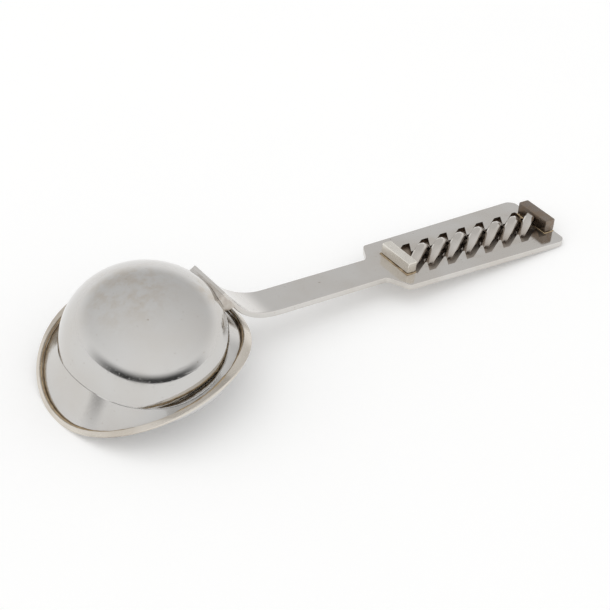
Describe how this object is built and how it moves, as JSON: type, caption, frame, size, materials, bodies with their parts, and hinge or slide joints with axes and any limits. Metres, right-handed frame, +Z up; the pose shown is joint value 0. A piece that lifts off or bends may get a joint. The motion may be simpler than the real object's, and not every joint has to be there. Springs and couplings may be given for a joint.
{
  "type": "ladle",
  "caption": "Small silver sauce ladle lying upside down: oval domed bowl with a flared two-lipped brim, bent flat strap handle and a twisted rope ornament between blocks on its broad end.",
  "frame": {"origin": "centre of the bounding box in X and Y, on the table in Z, with the ladle lying upside down as in the picture", "axes": "+X runs along the handle from the bowl to the tip, +Y across it, +Z up from the table"},
  "size_m": [0.1649, 0.0592, 0.0333],
  "materials": {
    "dome_silver": "polished silver",
    "brim_silver": "polished silver",
    "band_silver": "polished silver with warm solder tint",
    "strap_silver": "polished silver, dark in the sunk ground",
    "block_silver": "slightly tarnished silver",
    "twist_silver": "polished silver, filed flat on top"
  },
  "bodies": {
    "root": {"bowl_dome": "dome_silver", "bowl_collar": "brim_silver", "rim_band": "band_silver", "handle_strap": "strap_silver", "bowl_end_block": "block_silver", "tip_end_block": "block_silver", "twist_bar_1": "twist_silver", "twist_bar_2": "twist_silver", "twist_bar_3": "twist_silver", "twist_bar_4": "twist_silver", "twist_bar_5": "twist_silver", "twist_bar_6": "twist_silver", "twist_bar_7": "twist_silver"}
  },
  "joints": []
}
